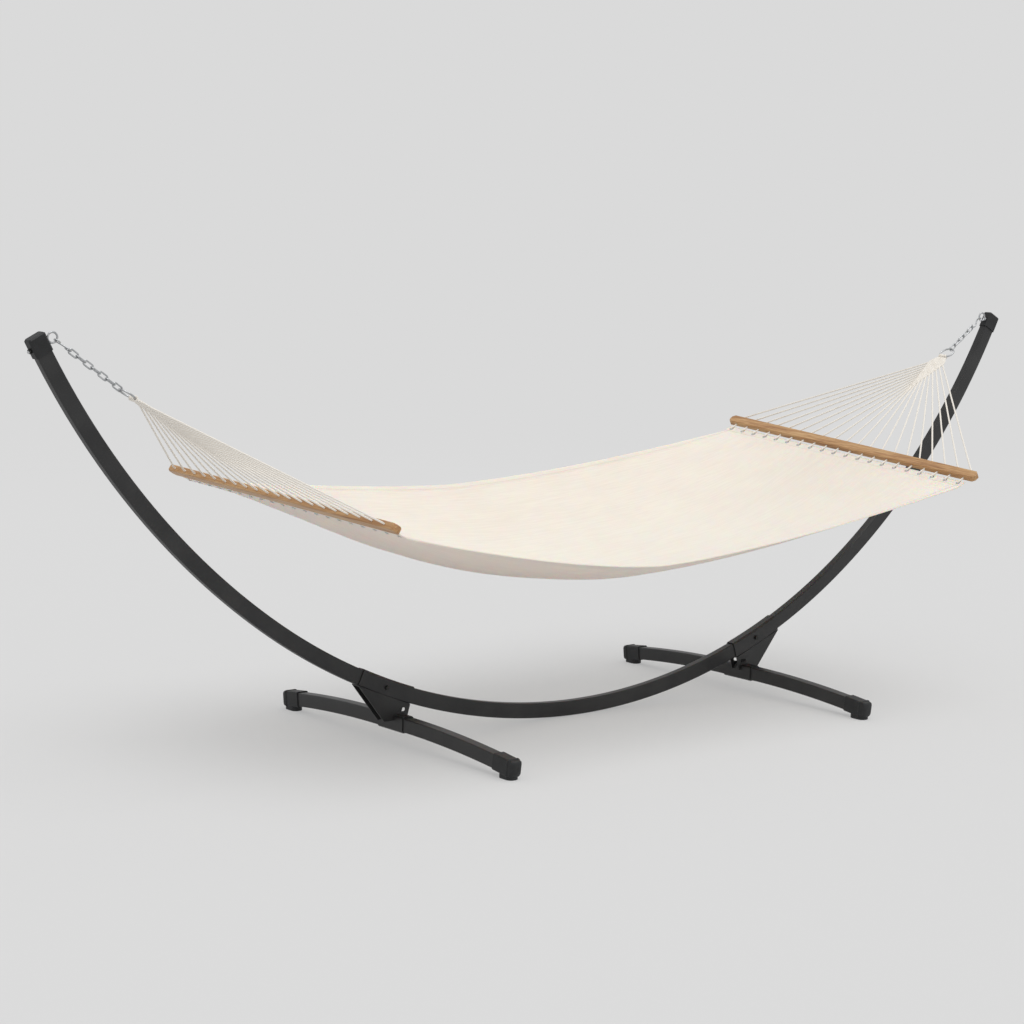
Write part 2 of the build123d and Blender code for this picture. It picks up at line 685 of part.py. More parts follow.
swing_axis = eye_centre - Vector(cos(radians(chain_angle)), 0, sin(radians(chain_angle))) * eye_ring_radius
print("swing axis height", round(swing_axis.Z, 2), "hooks at", round(swing_axis.X, 2))
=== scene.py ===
import json
import math

import bmesh
import bpy
from mathutils import Matrix, Vector, noise

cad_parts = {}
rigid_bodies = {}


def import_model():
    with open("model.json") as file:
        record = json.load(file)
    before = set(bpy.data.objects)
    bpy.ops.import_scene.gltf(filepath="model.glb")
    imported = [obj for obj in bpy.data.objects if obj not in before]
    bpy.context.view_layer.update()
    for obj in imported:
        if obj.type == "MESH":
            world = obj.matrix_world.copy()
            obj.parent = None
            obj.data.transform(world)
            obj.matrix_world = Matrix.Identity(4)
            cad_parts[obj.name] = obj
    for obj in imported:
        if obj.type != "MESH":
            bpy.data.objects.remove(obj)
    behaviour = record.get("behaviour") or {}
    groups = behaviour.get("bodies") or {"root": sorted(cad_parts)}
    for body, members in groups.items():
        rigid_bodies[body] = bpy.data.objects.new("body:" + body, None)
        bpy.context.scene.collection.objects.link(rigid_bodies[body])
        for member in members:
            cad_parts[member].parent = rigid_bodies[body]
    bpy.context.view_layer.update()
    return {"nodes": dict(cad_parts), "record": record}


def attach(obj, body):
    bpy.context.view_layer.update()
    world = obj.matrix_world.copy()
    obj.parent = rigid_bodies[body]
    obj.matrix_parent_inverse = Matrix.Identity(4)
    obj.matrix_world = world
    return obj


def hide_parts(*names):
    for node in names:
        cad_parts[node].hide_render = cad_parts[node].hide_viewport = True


# Canvas hammock slung between the tips of a bent steel arc.
# X runs along the hammock, Y across it and Z up. Lengths are in metres and angles in degrees.
mm = 0.001

for thing in list(bpy.data.objects):
    bpy.data.objects.remove(thing, do_unlink=True)
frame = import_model()
print("frame loaded with", len(frame["nodes"]), "nodes")


def toLinear(hexColour):
    channels = [int(hexColour[start:start + 2], 16) / 255 for start in (1, 3, 5)]
    linear = [c / 12.92 if c <= 0.04045 else ((c + 0.055) / 1.055) ** 2.4 for c in channels]
    return (*linear, 1.0)


def addNode(tree, kind, settings=None, values=None, links=None, ramp=None):
    node = tree.nodes.new(kind)
    for key, value in (settings or {}).items():
        setattr(node, key, value)
    for key, value in (values or {}).items():
        node.inputs[key].default_value = value
    for key, source in (links or {}).items():
        tree.links.new(source, node.inputs[key])
    if ramp:
        stops = node.color_ramp.elements
        stops[0].position = ramp[0][0]
        stops[1].position = ramp[-1][0]
        for position, _ in ramp[1:-1]:
            stops.new(position)
        for stop, (position, colour) in zip(stops, ramp):
            stop.color = toLinear(colour)
    return node


def startMaterial(name, values):
    material = bpy.data.materials.new(name)
    material.use_nodes = True
    shader = material.node_tree.nodes["Principled BSDF"]
    for key, value in values.items():
        shader.inputs[key].default_value = value
    return material, material.node_tree, shader


def linkShader(tree, shader, sources):
    for key, source in sources.items():
        tree.links.new(source, shader.inputs[key])


# Polyester powder coat on steel: charcoal, satin, with a fine orange peel and faint cloudy patches
powderCoat = {
    "dark": "#1e1e1f",
    "light": "#2b2b2b",
    "patch": 110 * mm,
    "peel": 2.5 * mm,  # really under 1 mm, drawn coarser so that it shows
    "peelStrength": 0.3,
    "peelDepth": 0.2 * mm,
    "smooth": 0.38,
    "rough": 0.52,
}


def makePowderCoatedSteel():
    material, tree, shader = startMaterial("powderCoatedSteel", {"IOR": 1.5})
    place = addNode(tree, "ShaderNodeTexCoord").outputs["Object"]
    cloud = addNode(
        tree,
        "ShaderNodeTexNoise",
        values={"Scale": 1 / powderCoat["patch"], "Detail": 4.0},
        links={"Vector": place},
    )
    colour = addNode(
        tree,
        "ShaderNodeValToRGB",
        links={0: cloud.outputs[0]},
        ramp=[(0.35, powderCoat["dark"]), (0.65, powderCoat["light"])],
    )
    rough = addNode(
        tree,
        "ShaderNodeMapRange",
        values={"To Min": powderCoat["smooth"], "To Max": powderCoat["rough"]},
        links={"Value": cloud.outputs[0]},
    )
    peel = addNode(
        tree,
        "ShaderNodeTexNoise",
        values={"Scale": 1 / powderCoat["peel"], "Detail": 2.0},
        links={"Vector": place},
    )
    bump = addNode(
        tree,
        "ShaderNodeBump",
        values={"Strength": powderCoat["peelStrength"], "Distance": powderCoat["peelDepth"]},
        links={"Height": peel.outputs[0]},
    )
    linkShader(
        tree,
        shader,
        {"Base Color": colour.outputs[0], "Roughness": rough.outputs[0], "Normal": bump.outputs[0]},
    )
    return material


# Zinc plate on steel, grey metal with slightly cloudy gloss: bright on drawn wire and pressed eyelets,
# and a darker copy of it on the bolts, nuts and screws, whose darkness is painted shade
zincPlate = {"dark": "#a9abad", "light": "#c9cacb", "patch": 6 * mm, "smooth": 0.24, "rough": 0.42}
# the darker zinc of the fasteners is painted shade
zincWithPaintedShade = {"dark": "#2e2e2d", "light": "#4a4a48", "patch": 4 * mm, "smooth": 0.4, "rough": 0.55}


def makeZincPlatedSteel(name, plate):
    material, tree, shader = startMaterial(name, {"Metallic": 1.0})
    place = addNode(tree, "ShaderNodeTexCoord").outputs["Object"]
    cloud = addNode(
        tree,
        "ShaderNodeTexNoise",
        values={"Scale": 1 / plate["patch"], "Detail": 5.0},
        links={"Vector": place},
    )
    colour = addNode(
        tree,
        "ShaderNodeValToRGB",
        links={0: cloud.outputs[0]},
        ramp=[(0.3, plate["dark"]), (0.7, plate["light"])],
    )
    rough = addNode(
        tree,
        "ShaderNodeMapRange",
        values={"To Min": plate["smooth"], "To Max": plate["rough"]},
        links={"Value": cloud.outputs[0]},
    )
    linkShader(tree, shader, {"Base Color": colour.outputs[0], "Roughness": rough.outputs[0]})
    return material


# Moulded polypropylene caps: near black, matt, from a spark-eroded tool
blackCap = {
    "dark": "#131415",
    "light": "#1d1e20",
    "patch": 25 * mm,
    "grain": 1.4 * mm,  # really about 0.2 mm, drawn coarser so that it shows
    "grainStrength": 0.5,
    "grainDepth": 0.15 * mm,
}


def makeMouldedPolypropylene():
    material, tree, shader = startMaterial("mouldedPolypropylene", {"IOR": 1.49, "Roughness": 0.55})
    place = addNode(tree, "ShaderNodeTexCoord").outputs["Object"]
    cloud = addNode(
        tree,
        "ShaderNodeTexNoise",
        values={"Scale": 1 / blackCap["patch"], "Detail": 3.0},
        links={"Vector": place},
    )
    colour = addNode(
        tree,
        "ShaderNodeValToRGB",
        links={0: cloud.outputs[0]},
        ramp=[(0.35, blackCap["dark"]), (0.65, blackCap["light"])],
    )
    grain = addNode(
        tree,
        "ShaderNodeTexNoise",
        values={"Scale": 1 / blackCap["grain"], "Detail": 2.0},
        links={"Vector": place},
    )
    bump = addNode(
        tree,
        "ShaderNodeBump",
        values={"Strength": blackCap["grainStrength"], "Distance": blackCap["grainDepth"]},
        links={"Height": grain.outputs[0]},
    )
    linkShader(tree, shader, {"Base Color": colour.outputs[0], "Normal": bump.outputs[0]})
    return material


# Varnished hardwood of the spreader bars: honey brown, straight grain along the bar, fine open pores
barWood = {
    "dark": "#96693f",
    "middle": "#b78a5a",
    "light": "#cda877",
    "streakWidth": 4 * mm,
    "streakLength": 130 * mm,
    "bandWidth": 16 * mm,
    "bandLength": 420 * mm,
    "streakShare": 0.55,
    "bandShare": 0.45,
    "poreWidth": 0.9 * mm,
    "poreLength": 14 * mm,
    "poreStrength": 0.35,
    "poreDepth": 0.25 * mm,
    "smooth": 0.42,
    "rough": 0.62,
}


def makeVarnishedHardwood():
    material, tree, shader = startMaterial("varnishedHardwood", {"IOR": 1.5, "Coat Weight": 0.15})
    place = addNode(tree, "ShaderNodeTexCoord").outputs["Object"]
    grains = {}
    for name in ("streak", "band", "pore"):
        across = 1 / barWood[name + "Width"]
        along = 1 / barWood[name + "Length"]
        scaled = addNode(
            tree, "ShaderNodeMapping", values={"Scale": (across, along, across)}, links={"Vector": place}
        )
        grains[name] = addNode(
            tree,
            "ShaderNodeTexNoise",
            values={"Scale": 1.0, "Detail": 4.0, "Distortion": 0.4},
            links={"Vector": scaled.outputs[0]},
        ).outputs[0]
    bands = addNode(
        tree, "ShaderNodeMath", {"operation": "MULTIPLY"}, {1: barWood["bandShare"]}, {0: grains["band"]}
    )
    mixed = addNode(
        tree,
        "ShaderNodeMath",
        {"operation": "MULTIPLY_ADD"},
        {1: barWood["streakShare"]},
        {0: grains["streak"], 2: bands.outputs[0]},
    )
    colour = addNode(
        tree,
        "ShaderNodeValToRGB",
        links={0: mixed.outputs[0]},
        ramp=[(0.36, barWood["dark"]), (0.5, barWood["middle"]), (0.64, barWood["light"])],
    )
    rough = addNode(
        tree,
        "ShaderNodeMapRange",
        values={"To Min": barWood["smooth"], "To Max": barWood["rough"]},
        links={"Value": grains["pore"]},
    )
    bump = addNode(
        tree,
        "ShaderNodeBump",
        values={"Strength": barWood["poreStrength"], "Distance": barWood["poreDepth"]},
        links={"Height": grains["pore"]},
    )
    linkShader(
        tree,
        shader,
        {"Base Color": colour.outputs[0], "Roughness": rough.outputs[0], "Normal": bump.outputs[0]},
    )
    return material


# Laid cotton rope: off-white, matt, three strands that wind round each other
cottonRope = {
    "dark": "#ece4d8",
    "light": "#fbf7f0",
    "strands": 3,
    "layLength": 24 * mm,
    "layStrength": 0.3,
    "layDepth": 0.6 * mm,
    "fuzz": 1.2 * mm,
    "fuzzShare": 0.6,
}


def makeLaidCottonRope():
    material, tree, shader = startMaterial("laidCottonRope", {"Roughness": 0.9, "Sheen Weight": 0.2})
    coordinates = addNode(tree, "ShaderNodeTexCoord")
    lay = addNode(tree, "ShaderNodeSeparateXYZ", links={0: coordinates.outputs["UV"]})
    along = addNode(
        tree,
        "ShaderNodeMath",
        {"operation": "MULTIPLY"},
        {1: cottonRope["strands"] / cottonRope["layLength"]},
        {0: lay.outputs["Y"]},
    )
    turn = addNode(
        tree,
        "ShaderNodeMath",
        {"operation": "MULTIPLY_ADD"},
        {1: float(cottonRope["strands"])},
        {0: lay.outputs["X"], 2: along.outputs[0]},
    )
    phase = addNode(
        tree, "ShaderNodeMath", {"operation": "MULTIPLY"}, {1: 2 * math.pi}, {0: turn.outputs[0]}
    )
    wave = addNode(tree, "ShaderNodeMath", {"operation": "SINE"}, links={0: phase.outputs[0]})
    fuzz = addNode(
        tree,
        "ShaderNodeTexNoise",
        values={"Scale": 1 / cottonRope["fuzz"], "Detail": 4.0},
        links={"Vector": coordinates.outputs["Object"]},
    )
    relief = addNode(
        tree,
        "ShaderNodeMath",
        {"operation": "MULTIPLY_ADD"},
        {1: cottonRope["fuzzShare"]},
        {0: fuzz.outputs[0], 2: wave.outputs[0]},
    )
    # the colour follows the relief: darker in the grooves between the strands, which is painted shade, with
    # random tone from the fuzz
    colour = addNode(
        tree,
        "ShaderNodeValToRGB",
        links={0: relief.outputs[0]},
        ramp=[(0.0, cottonRope["dark"]), (0.8, cottonRope["light"])],
    )
    bump = addNode(
        tree,
        "ShaderNodeBump",
        values={"Strength": cottonRope["layStrength"], "Distance": cottonRope["layDepth"]},
        links={"Height": relief.outputs[0]},
    )
    linkShader(tree, shader, {"Base Color": colour.outputs[0], "Normal": bump.outputs[0]})
    return material


# Unbleached cotton canvas in plain weave: matt cream, with slubs along the threads
canvasCloth = {
    "dark": "#e9e1d5",
    "light": "#efe8dc",
    "thread": 1.8 * mm,  # really about 0.7 mm, drawn coarser so that it shows
    "slubWidth": 3 * mm,
    "slubLength": 90 * mm,
    "slubRelief": 1.5,
    "slubShare": 0.7,
    "patch": 160 * mm,
    "patchShare": 0.3,
    "weaveStrength": 0.35,
    "weaveDepth": 0.2 * mm,
    "glow": 0.6,
    "glowDepth": 2.5 * mm,
    "glowRadius": (1.0, 0.45, 0.22),  # red light goes furthest through undyed cotton
}


def makeCottonCanvas():
    # thin enough to let some light through, which warms its underside
    values = {
        "Roughness": 0.93,
        "Sheen Weight": 0.15,
        "Subsurface Weight": canvasCloth["glow"],
        "Subsurface Scale": canvasCloth["glowDepth"],
        "Subsurface Radius": canvasCloth["glowRadius"],
    }
    material, tree, shader = startMaterial("cottonCanvas", values)
    place = addNode(tree, "ShaderNodeTexCoord").outputs["Object"]
    axes = addNode(tree, "ShaderNodeSeparateXYZ", links={0: place})
    waves = []
    for axis in ("X", "Y"):
        phase = addNode(
            tree,
            "ShaderNodeMath",
            {"operation": "MULTIPLY"},
            {1: math.pi / canvasCloth["thread"]},
            {0: axes.outputs[axis]},
        )
        waves.append(addNode(tree, "ShaderNodeMath", {"operation": "SINE"}, links={0: phase.outputs[0]}))
    weave = addNode(
        tree,
        "ShaderNodeMath",
        {"operation": "MULTIPLY"},
        links={0: waves[0].outputs[0], 1: waves[1].outputs[0]},
    )
    stretched = addNode(
        tree,
        "ShaderNodeMapping",
        values={"Scale": (1 / canvasCloth["slubLength"], 1 / canvasCloth["slubWidth"], 1.0)},
        links={"Vector": place},
    )
    slub = addNode(
        tree,
        "ShaderNodeTexNoise",
        values={"Scale": 1.0, "Detail": 3.0},
        links={"Vector": stretched.outputs[0]},
    )
    cloud = addNode(
        tree,
        "ShaderNodeTexNoise",
        values={"Scale": 1 / canvasCloth["patch"], "Detail": 3.0},
        links={"Vector": place},
    )
    patches = addNode(
        tree,
        "ShaderNodeMath",
        {"operation": "MULTIPLY"},
        {1: canvasCloth["patchShare"]},
        {0: cloud.outputs[0]},
    )
    tone = addNode(
        tree,
        "ShaderNodeMath",
        {"operation": "MULTIPLY_ADD"},
        {1: canvasCloth["slubShare"]},
        {0: slub.outputs[0], 2: patches.outputs[0]},
    )
    colour = addNode(
        tree,
        "ShaderNodeValToRGB",
        links={0: tone.outputs[0]},
        ramp=[(0.38, canvasCloth["dark"]), (0.62, canvasCloth["light"])],
    )
    relief = addNode(
        tree,
        "ShaderNodeMath",
        {"operation": "MULTIPLY_ADD"},
        {1: canvasCloth["slubRelief"]},
        {0: slub.outputs[0], 2: weave.outputs[0]},
    )
    bump = addNode(
        tree,
        "ShaderNodeBump",
        values={"Strength": canvasCloth["weaveStrength"], "Distance": canvasCloth["weaveDepth"]},
        links={"Height": relief.outputs[0]},
    )
    linkShader(tree, shader, {"Base Color": colour.outputs[0], "Normal": bump.outputs[0]})
    return material


# Spun polyester thread: a shade darker than the canvas that it sews
sewingThread = {"dark": "#d3c7b2", "light": "#e6dccb", "fibre": 0.8 * mm}


def makePolyesterThread():
    material, tree, shader = startMaterial("polyesterThread", {"Roughness": 0.7, "Sheen Weight": 0.1})
    place = addNode(tree, "ShaderNodeTexCoord").outputs["Object"]
    fibres = addNode(
        tree,
        "ShaderNodeTexNoise",
        values={"Scale": 1 / sewingThread["fibre"], "Detail": 3.0},
        links={"Vector": place},
    )
    colour = addNode(
        tree,
        "ShaderNodeValToRGB",
        links={0: fibres.outputs[0]},
        ramp=[(0.3, sewingThread["dark"]), (0.7, sewingThread["light"])],
    )
    linkShader(tree, shader, {"Base Color": colour.outputs[0]})
    return material


finishes = {
    "powder_coat": makePowderCoatedSteel(),
    "zinc_steel": makeZincPlatedSteel("zincPlatedSteel", zincPlate),
    "black_plastic": makeMouldedPolypropylene(),
    "hardwood": makeVarnishedHardwood(),
    "cotton_rope": makeLaidCottonRope(),
    "canvas": makeCottonCanvas(),
}
thread = makePolyesterThread()
# the bolts, nuts and screws get the darker zinc, which is painted shade
fastenerPaintedShade = makeZincPlatedSteel("zincPlateWithPaintedShade", zincWithPaintedShade)
fasteners = ("bracket_bolts", "bracket_nuts", "eye_bolt_nuts", "crossbar_screws")
for subpart in frame["record"]["subparts"]:
    node = frame["nodes"][subpart["node"]]
    finish = fastenerPaintedShade if subpart["node"] in fasteners else finishes[subpart["material_slot"]]
    if not node.material_slots:
        node.data.materials.append(finish)
    for nodeSlot in node.material_slots:
        nodeSlot.material = finish
print("materials made")


def addSkin(shape, rings, closed=False):
    # joins rings of equal count by quads, and closes the ends of an open run
    first = len(shape["verts"])
    count = len(rings[0])
    for ring in rings:
        shape["verts"].extend(ring)
    travelled = [0.0]
    for before, after in zip(rings, rings[1:] + rings[:1]):
        travelled.append(travelled[-1] + (after[0] - before[0]).length)
    for row in range(len(rings) if closed else len(rings) - 1):
        below = first + row * count
        above = first + (row + 1) % len(rings) * count
        for number in range(count):
            beside = (number + 1) % count
            shape["faces"].append((below + number, below + beside, above + beside, above + number))
            near = number / count
            far = (number + 1) / count
            low = travelled[row]
            high = travelled[row + 1]
            shape["uvs"].extend((near, low, far, low, far, high, near, high))
    if not closed:
        last = first + (len(rings) - 1) * count
        shape["faces"].append(tuple(first + number for number in reversed(range(count))))
        shape["faces"].append(tuple(last + number for number in range(count)))
        shape["uvs"].extend((0.0, 0.0) * 2 * count)


def addTube(shape, path, radius, sides=12, closed=False):
    # a round wire or cord along a path, its section carried without twist
    count = len(path)
    side = None
    rings = []
    for number, point in enumerate(path):
        before = path[number - 1] if number or closed else point
        after = path[(number + 1) % count] if number < count - 1 or closed else point
        tangent = (after - before).normalized()
        side = tangent.orthogonal() if side is None else side - tangent * side.dot(tangent)
        side.normalize()
        up = tangent.cross(side)
        turns = [2 * math.pi * step / sides for step in range(sides)]
        rings.append([point + (side * math.cos(turn) + up * math.sin(turn)) * radius for turn in turns])
    addSkin(shape, rings, closed)


def roundCorners(points, reach, steps=5):
    path = [points[0]]
    for before, corner, after in zip(points, points[1:], points[2:]):
        start = corner + (before - corner).normalized() * min(reach, (before - corner).length * 0.45)
        end = corner + (after - corner).normalized() * min(reach, (after - corner).length * 0.45)
        for step in range(steps + 1):
            share = step / steps
            path.append(start * (1 - share) ** 2 + corner * 2 * share * (1 - share) + end * share**2)
    path.append(points[-1])
    return path


def arcPath(centre, first, second, radius, start, end, steps):
    # points round a centre, from one angle to another, measured from the first direction to the second
    path = []
    for step in range(steps + 1):
        angle = math.radians(start + (end - start) * step / steps)
        path.append(centre + (first * math.cos(angle) + second * math.sin(angle)) * radius)
    return path


def circlePath(centre, first, second, radius, count):
    return arcPath(centre, first, second, radius, 0, 360 - 360 / count, count - 1)


def roundedBox(width, height, radius, steps=4):
    outline = []
    for quarter, (sx, sy) in enumerate(((1, 1), (-1, 1), (-1, -1), (1, -1))):
        for step in range(steps + 1):
            angle = math.radians(90 * (quarter + step / steps))
            x = sx * (width / 2 - radius) + radius * math.cos(angle)
            y = sy * (height / 2 - radius) + radius * math.sin(angle)
            outline.append((x, y))
    return outline


def emptyShape():
    return {"verts": [], "faces": [], "uvs": []}


def makePiece(name, shape, finish, body, replaced=(), sharp=45, evenNormals=False):
    mesh = bpy.data.meshes.new(name)
    mesh.from_pydata(shape["verts"], [], shape["faces"])
    if shape["uvs"]:
        mesh.uv_layers.new(name="lay").data.foreach_set("uv", shape["uvs"])
    work = bmesh.new()
    work.from_mesh(mesh)
    bmesh.ops.recalc_face_normals(work, faces=work.faces)
    work.to_mesh(mesh)
    work.free()
    mesh.polygons.foreach_set("use_smooth", [True] * len(mesh.polygons))
    mesh.set_sharp_from_angle(angle=math.radians(sharp))
    mesh.materials.append(finish)
    piece = bpy.data.objects.new(name, mesh)
    bpy.context.scene.collection.objects.link(piece)
    if evenNormals:
        piece.modifiers.new("evenNormals", "WEIGHTED_NORMAL").keep_sharp = True
    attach(piece, body)
    if replaced:
        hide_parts(*replaced)
    return piece


weldGap = 0.02 * mm


def makeCrispCopy(node, slot, body):
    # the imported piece's own shape, welded so that its flats are shaded flat and its bends smooth
    work = bmesh.new()
    work.from_mesh(frame["nodes"][node].data)
    bmesh.ops.remove_doubles(work, verts=work.verts, dist=weldGap)
    work.verts.index_update()
    shape = emptyShape()
    shape["verts"] = [vert.co.copy() for vert in work.verts]
    shape["faces"] = [[vert.index for vert in face.verts] for face in work.faces]
    work.free()
    makePiece(node + "_finished", shape, finishes[slot], body, [node], 25, True)


for endName in ("left", "right"):
    makeCrispCopy(f"spreader_bar_{endName}", "hardwood", "sling")
    makeCrispCopy(f"bracket_{endName}", "powder_coat", "stand")
    makeCrispCopy(f"tip_cap_{endName}", "black_plastic", "stand")

# Bent box tube of the arc, in three lengths that meet inside the brackets
arc = {
    "height": 50 * mm,
    "width": 30 * mm,
    "corner": 5 * mm,
    "floorGap": 2 * mm,
    "centreRadius": 2165 * mm,
    "centreSlope": 34.7,
    "tipRadius": 2470 * mm,
    "tipSlope": 62.3,
    "jointSlope": 23.17,
    "stationSlope": 0.8,
}


def arcPoint(slope, inward=0.0):
    angle = math.radians(slope)
    change = math.radians(arc["centreSlope"])
    low = min(angle, change)
    x = arc["centreRadius"] * math.sin(low)
    z = arc["floorGap"] + arc["height"] / 2 + arc["centreRadius"] * (1 - math.cos(low))
    if angle > change:
        x += arc["tipRadius"] * (math.sin(angle) - math.sin(change))
        z += arc["tipRadius"] * (math.cos(change) - math.cos(angle))
    return Vector((x - inward * math.sin(angle), 0, z + inward * math.cos(angle)))


def mirrored(point, side):
    return Vector((side * point.x, point.y, point.z))


def makeArcTube(node, lowSlope, highSlope, side):
    outline = roundedBox(arc["width"], arc["height"], arc["corner"])
    stations = math.ceil((highSlope - lowSlope) / arc["stationSlope"])
    rings = []
    for station in range(stations + 1):
        slope = lowSlope + (highSlope - lowSlope) * station / stations
        centre = arcPoint(slope)
        inward = arcPoint(slope, 1.0) - centre
        rings.append([mirrored(centre + Vector((0, x, 0)) + inward * y, side) for x, y in outline])
    shape = emptyShape()
    addSkin(shape, rings)
    finish = finishes["powder_coat"]
    makePiece(node + "_finished", shape, finish, "stand", [node], evenNormals=True)


makeArcTube("arc_tube_centre", -arc["jointSlope"], arc["jointSlope"], 1)
makeArcTube("arc_tube_left", arc["jointSlope"], arc["tipSlope"], -1)
makeArcTube("arc_tube_right", arc["jointSlope"], arc["tipSlope"], 1)

# Crossbar halves, level inside the bracket and then bending down to the foot
crossbar = {
    "x": 757 * mm,
    "height": 45 * mm,
    "width": 38 * mm,
    "corner": 4.5 * mm,
    "middleZ": 67 * mm,
    "drop": 31.5 * mm,
    "reach": 588 * mm,
    "level": 65 * mm,
    "gap": 2 * mm,
    "bendStations": 14,
}


def makeCrossbarHalf(node, sideX, sideY):
    run = crossbar["reach"] - crossbar["level"]
    radius = (run**2 + crossbar["drop"] ** 2) / (2 * crossbar["drop"])
    turn = math.asin(run / radius)
    stations = [(crossbar["gap"] / 2, 0.0, 0.0)]
    for number in range(crossbar["bendStations"] + 1):
        angle = turn * number / crossbar["bendStations"]
        stations.append((crossbar["level"] + radius * math.sin(angle), radius * (1 - math.cos(angle)), angle))
    outline = roundedBox(crossbar["width"], crossbar["height"], crossbar["corner"])
    rings = []
    for y, fall, angle in stations:
        centre = Vector((sideX * crossbar["x"], sideY * y, crossbar["middleZ"] - fall))
        up = Vector((0, sideY * math.sin(angle), math.cos(angle)))
        rings.append([centre + Vector((x, 0, 0)) + up * height for x, height in outline])
    shape = emptyShape()
    addSkin(shape, rings)
    finish = finishes["powder_coat"]
    makePiece(node + "_finished", shape, finish, "stand", [node], evenNormals=True)


# Foot caps: a skirt on the crossbar's end, a raised rim, a domed nose and a flat pad below
footCap = {
    "width": 44.8 * mm,
    "height": 51.8 * mm,
    "skirt": 72 * mm,
    "skirtCorner": 6 * mm,
    "edge": 1 * mm,
    "rimWidth": 7 * mm,
    "rimRise": 2 * mm,
    "rimSlope": 0.8 * mm,
    "nose": 19 * mm,
    "noseStart": 0.45,
    "noseInset": 17 * mm,
    "noseCorner": 21 * mm,
    "noseStations": 7,
    "cornerSteps": 6,
    "padLength": 62 * mm,
    "padWidth": 40 * mm,
    "padHeight": 20 * mm,
    "padCorner": 18 * mm,
}


def makeFootCap(node, sideX, sideY):
    run = crossbar["reach"] - crossbar["level"]
    turn = 2 * math.atan(crossbar["drop"] / run)
    centreZ = crossbar["middleZ"] - crossbar["drop"]
    centre = Vector((sideX * crossbar["x"], sideY * crossbar["reach"], centreZ))
    outward = Vector((0, sideY * math.cos(turn), -math.sin(turn)))
    up = Vector((0, sideY * math.sin(turn), math.cos(turn)))
    skirt = footCap["skirt"]
    rim = footCap["rimWidth"]
    rise = -footCap["rimRise"]
    slope = footCap["rimSlope"]
    edge = footCap["edge"]
    corner = footCap["skirtCorner"]
    rounder = corner + 2 * edge
    stations = [
        (-skirt, edge, corner),
        (-skirt + edge, 0.0, corner),
        (-rim - slope, 0.0, corner),
        (-rim, rise * 0.6, corner + edge),
        (-rim + edge, rise, rounder),
        (-edge, rise, rounder),
        (0.0, rise * 0.6, rounder),
        (slope, 0.0, rounder),
    ]
    for number in range(1, footCap["noseStations"] + 1):
        share = number / footCap["noseStations"]
        angle = math.pi / 2 * share
        reach = footCap["nose"] * (footCap["noseStart"] + (1 - footCap["noseStart"]) * math.sin(angle))
        inset = footCap["noseInset"] * (1 - math.cos(angle))
        stations.append((reach, inset, rounder + (footCap["noseCorner"] - 2 * edge - rounder) * share))
    shape = emptyShape()
    rings = []
    for reach, inset, radius in stations:
        width = footCap["width"] - 2 * inset
        height = footCap["height"] - 2 * inset
        outline = roundedBox(width, height, min(radius, (width - edge) / 2), footCap["cornerSteps"])
        rings.append([centre + outward * reach + Vector((x, 0, 0)) + up * y for x, y in outline])
    addSkin(shape, rings)
    padY = crossbar["reach"] + footCap["nose"] - footCap["noseInset"] / 2 - footCap["padLength"] / 2
    rings = []
    for z, inset in ((0.0, edge), (edge, 0.0), (footCap["padHeight"], 0.0)):
        outline = roundedBox(
            footCap["padWidth"] - 2 * inset,
            footCap["padLength"] - 2 * inset,
            footCap["padCorner"] - inset,
            footCap["cornerSteps"],
        )
        rings.append([Vector((sideX * crossbar["x"] + x, sideY * padY + y, z)) for x, y in outline])
    addSkin(shape, rings)
    finish = finishes["black_plastic"]
    makePiece(node + "_finished", shape, finish, "stand", [node], 35, True)


for sideX, endName in ((-1, "left"), (1, "right")):
    for sideY, rowName in ((-1, "front"), (1, "back")):
        makeCrossbarHalf(f"crossbar_{endName}_{rowName}", sideX, sideY)
        makeFootCap(f"foot_cap_{endName}_{rowName}", sideX, sideY)
print("stand tubes made")

# Eye bolts through the tips, with the eye in the plane of the arc
eyeBolt = {
    "fromEnd": 24 * mm,
    "capFace": 28.5 * mm,
    "standoff": 19 * mm,
    "ringRadius": 15 * mm,
    "wire": 6 * mm,
    "shank": 8 * mm,
    "collar": 15 * mm,
    "collarHeight": 3 * mm,
    "edge": 0.8 * mm,
    "tail": 39 * mm,
}
eyeSlope = arc["tipSlope"] - math.degrees(eyeBolt["fromEnd"] / arc["tipRadius"])


def makeEyeBolt(node, side):
    foot = mirrored(arcPoint(eyeSlope), side)
    up = (mirrored(arcPoint(eyeSlope, 1.0), side) - foot).normalized()
    centre = foot + up * (eyeBolt["capFace"] + eyeBolt["standoff"])
    across = Vector((0, 1, 0)).cross(up)
    wire = eyeBolt["wire"] / 2
    shank = eyeBolt["shank"] / 2
    collar = eyeBolt["collar"] / 2
    tail = eyeBolt["tail"]
    edge = eyeBolt["edge"]
    face = eyeBolt["capFace"]
    collarTop = face + eyeBolt["collarHeight"]
    profile = [
        (-tail, shank - edge),
        (-tail + edge, shank),
        (face, shank),
        (face, collar - 0.5 * mm),
        (face + 0.5 * mm, collar),
        (collarTop - edge, collar),
        (collarTop, collar - edge),
        (collarTop, wire + edge),
        (collarTop + edge, wire),
        (face + eyeBolt["standoff"] - eyeBolt["ringRadius"], wire),
    ]
    shape = emptyShape()
    addTube(shape, circlePath(centre, up, across, eyeBolt["ringRadius"], 48), wire, 14, closed=True)
    rings = [
        circlePath(foot + up * height, across, Vector((0, 1, 0)), radius, 24) for height, radius in profile
    ]
    addSkin(shape, rings)
    makePiece(node + "_finished", shape, finishes["zinc_steel"], "stand", [node])
    return centre


